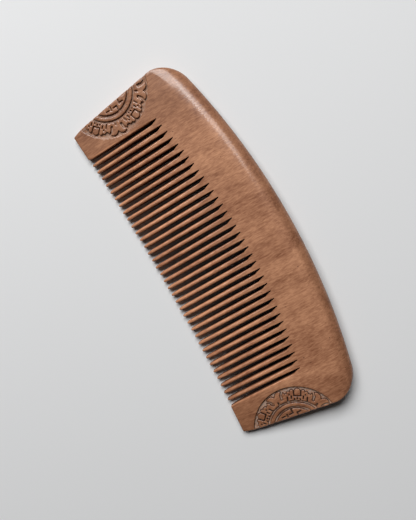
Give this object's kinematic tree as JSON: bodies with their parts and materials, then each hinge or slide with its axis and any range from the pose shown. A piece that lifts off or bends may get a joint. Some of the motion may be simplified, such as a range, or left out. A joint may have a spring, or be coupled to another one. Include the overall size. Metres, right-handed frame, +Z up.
{
  "type": "wooden comb",
  "caption": "One-piece wooden hair comb with a curved rounded spine, a row of fine sawn teeth, solid ends and a carved roundel cut off by each end.",
  "frame": {"origin": "middle of the comb's box, on the flat underside that it lies on", "axes": "+X along the comb, +Y from the tips of the teeth towards the spine, +Z up out of the carved face"},
  "size_m": [0.152, 0.0607, 0.0094],
  "materials": {
    "wood": "satin"
  },
  "bodies": {
    "root": {"comb": "wood"}
  },
  "joints": []
}
